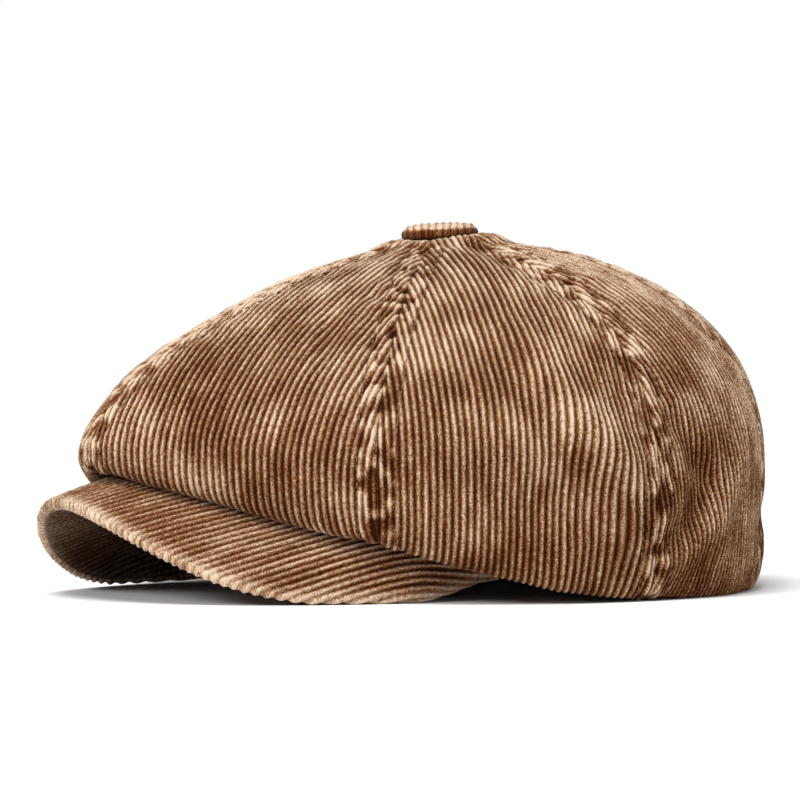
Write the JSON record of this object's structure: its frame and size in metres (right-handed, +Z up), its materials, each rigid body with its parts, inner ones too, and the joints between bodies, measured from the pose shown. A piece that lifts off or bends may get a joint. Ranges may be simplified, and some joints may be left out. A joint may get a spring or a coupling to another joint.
{
  "type": "newsboy cap",
  "caption": "Full-crowned newsboy cap in wide-wale corduroy, with an arched peak that flexes at its seam, a covered top button, a lining and a sweatband.",
  "frame": {"origin": "centre of the bottom of the cap's box, on the table that it rests on", "axes": "+Z up, the peak points along -Y, the wearer's left is +X"},
  "size_m": [0.2606, 0.3045, 0.1455],
  "materials": {
    "crown_corduroy": "washed wide-wale cotton corduroy, worn pale on the ribs",
    "peak_corduroy": "the same corduroy, worn pale along the rolled edge",
    "button_corduroy": "the same corduroy, gathered over the button",
    "lining_cloth": "dark brown satin lining",
    "sweatband_cloth": "ribbed dark cotton sweatband",
    "elastic_cloth": "gathered elastic at the back of the sweatband",
    "stiffener_tape": "stiff woven tape",
    "board_plastic": "bendable plastic peak board",
    "button_metal": "pressed steel",
    "washer_metal": "pressed steel"
  },
  "bodies": {
    "crown": {"crown_panel_front_left": "crown_corduroy", "crown_panel_front_side_left": "crown_corduroy", "crown_panel_rear_side_left": "crown_corduroy", "crown_panel_rear_left": "crown_corduroy", "crown_panel_front_right": "crown_corduroy", "crown_panel_front_side_right": "crown_corduroy", "crown_panel_rear_side_right": "crown_corduroy", "crown_panel_rear_right": "crown_corduroy", "lining_gore_front_left": "lining_cloth", "lining_gore_front_side_left": "lining_cloth", "lining_gore_rear_side_left": "lining_cloth", "lining_gore_rear_left": "lining_cloth", "lining_gore_front_right": "lining_cloth", "lining_gore_front_side_right": "lining_cloth", "lining_gore_rear_side_right": "lining_cloth", "lining_gore_rear_right": "lining_cloth", "sweatband": "sweatband_cloth", "sweatband_elastic": "elastic_cloth", "headband_stiffener": "stiffener_tape", "backing_washer": "washer_metal"},
    "peak": {"peak_top_cover": "peak_corduroy", "peak_board": "board_plastic", "peak_under_cover": "peak_corduroy"},
    "button": {"button_cover": "button_corduroy", "button_mould": "button_metal", "button_back_plate": "button_metal", "button_shank": "button_metal"}
  },
  "joints": [
    {"name": "peak_flex", "type": "hinge", "parent": "crown", "child": "peak", "pos_m": [0, -0.005, 0.012], "axis": [1, 0, 0], "range_deg": [0, 10]},
    {"name": "button_spin", "type": "hinge", "parent": "crown", "child": "button", "pos_m": [0, 0.02195, 0.1396], "axis": [0, -0.0523, 0.9986], "continuous": true}
  ]
}
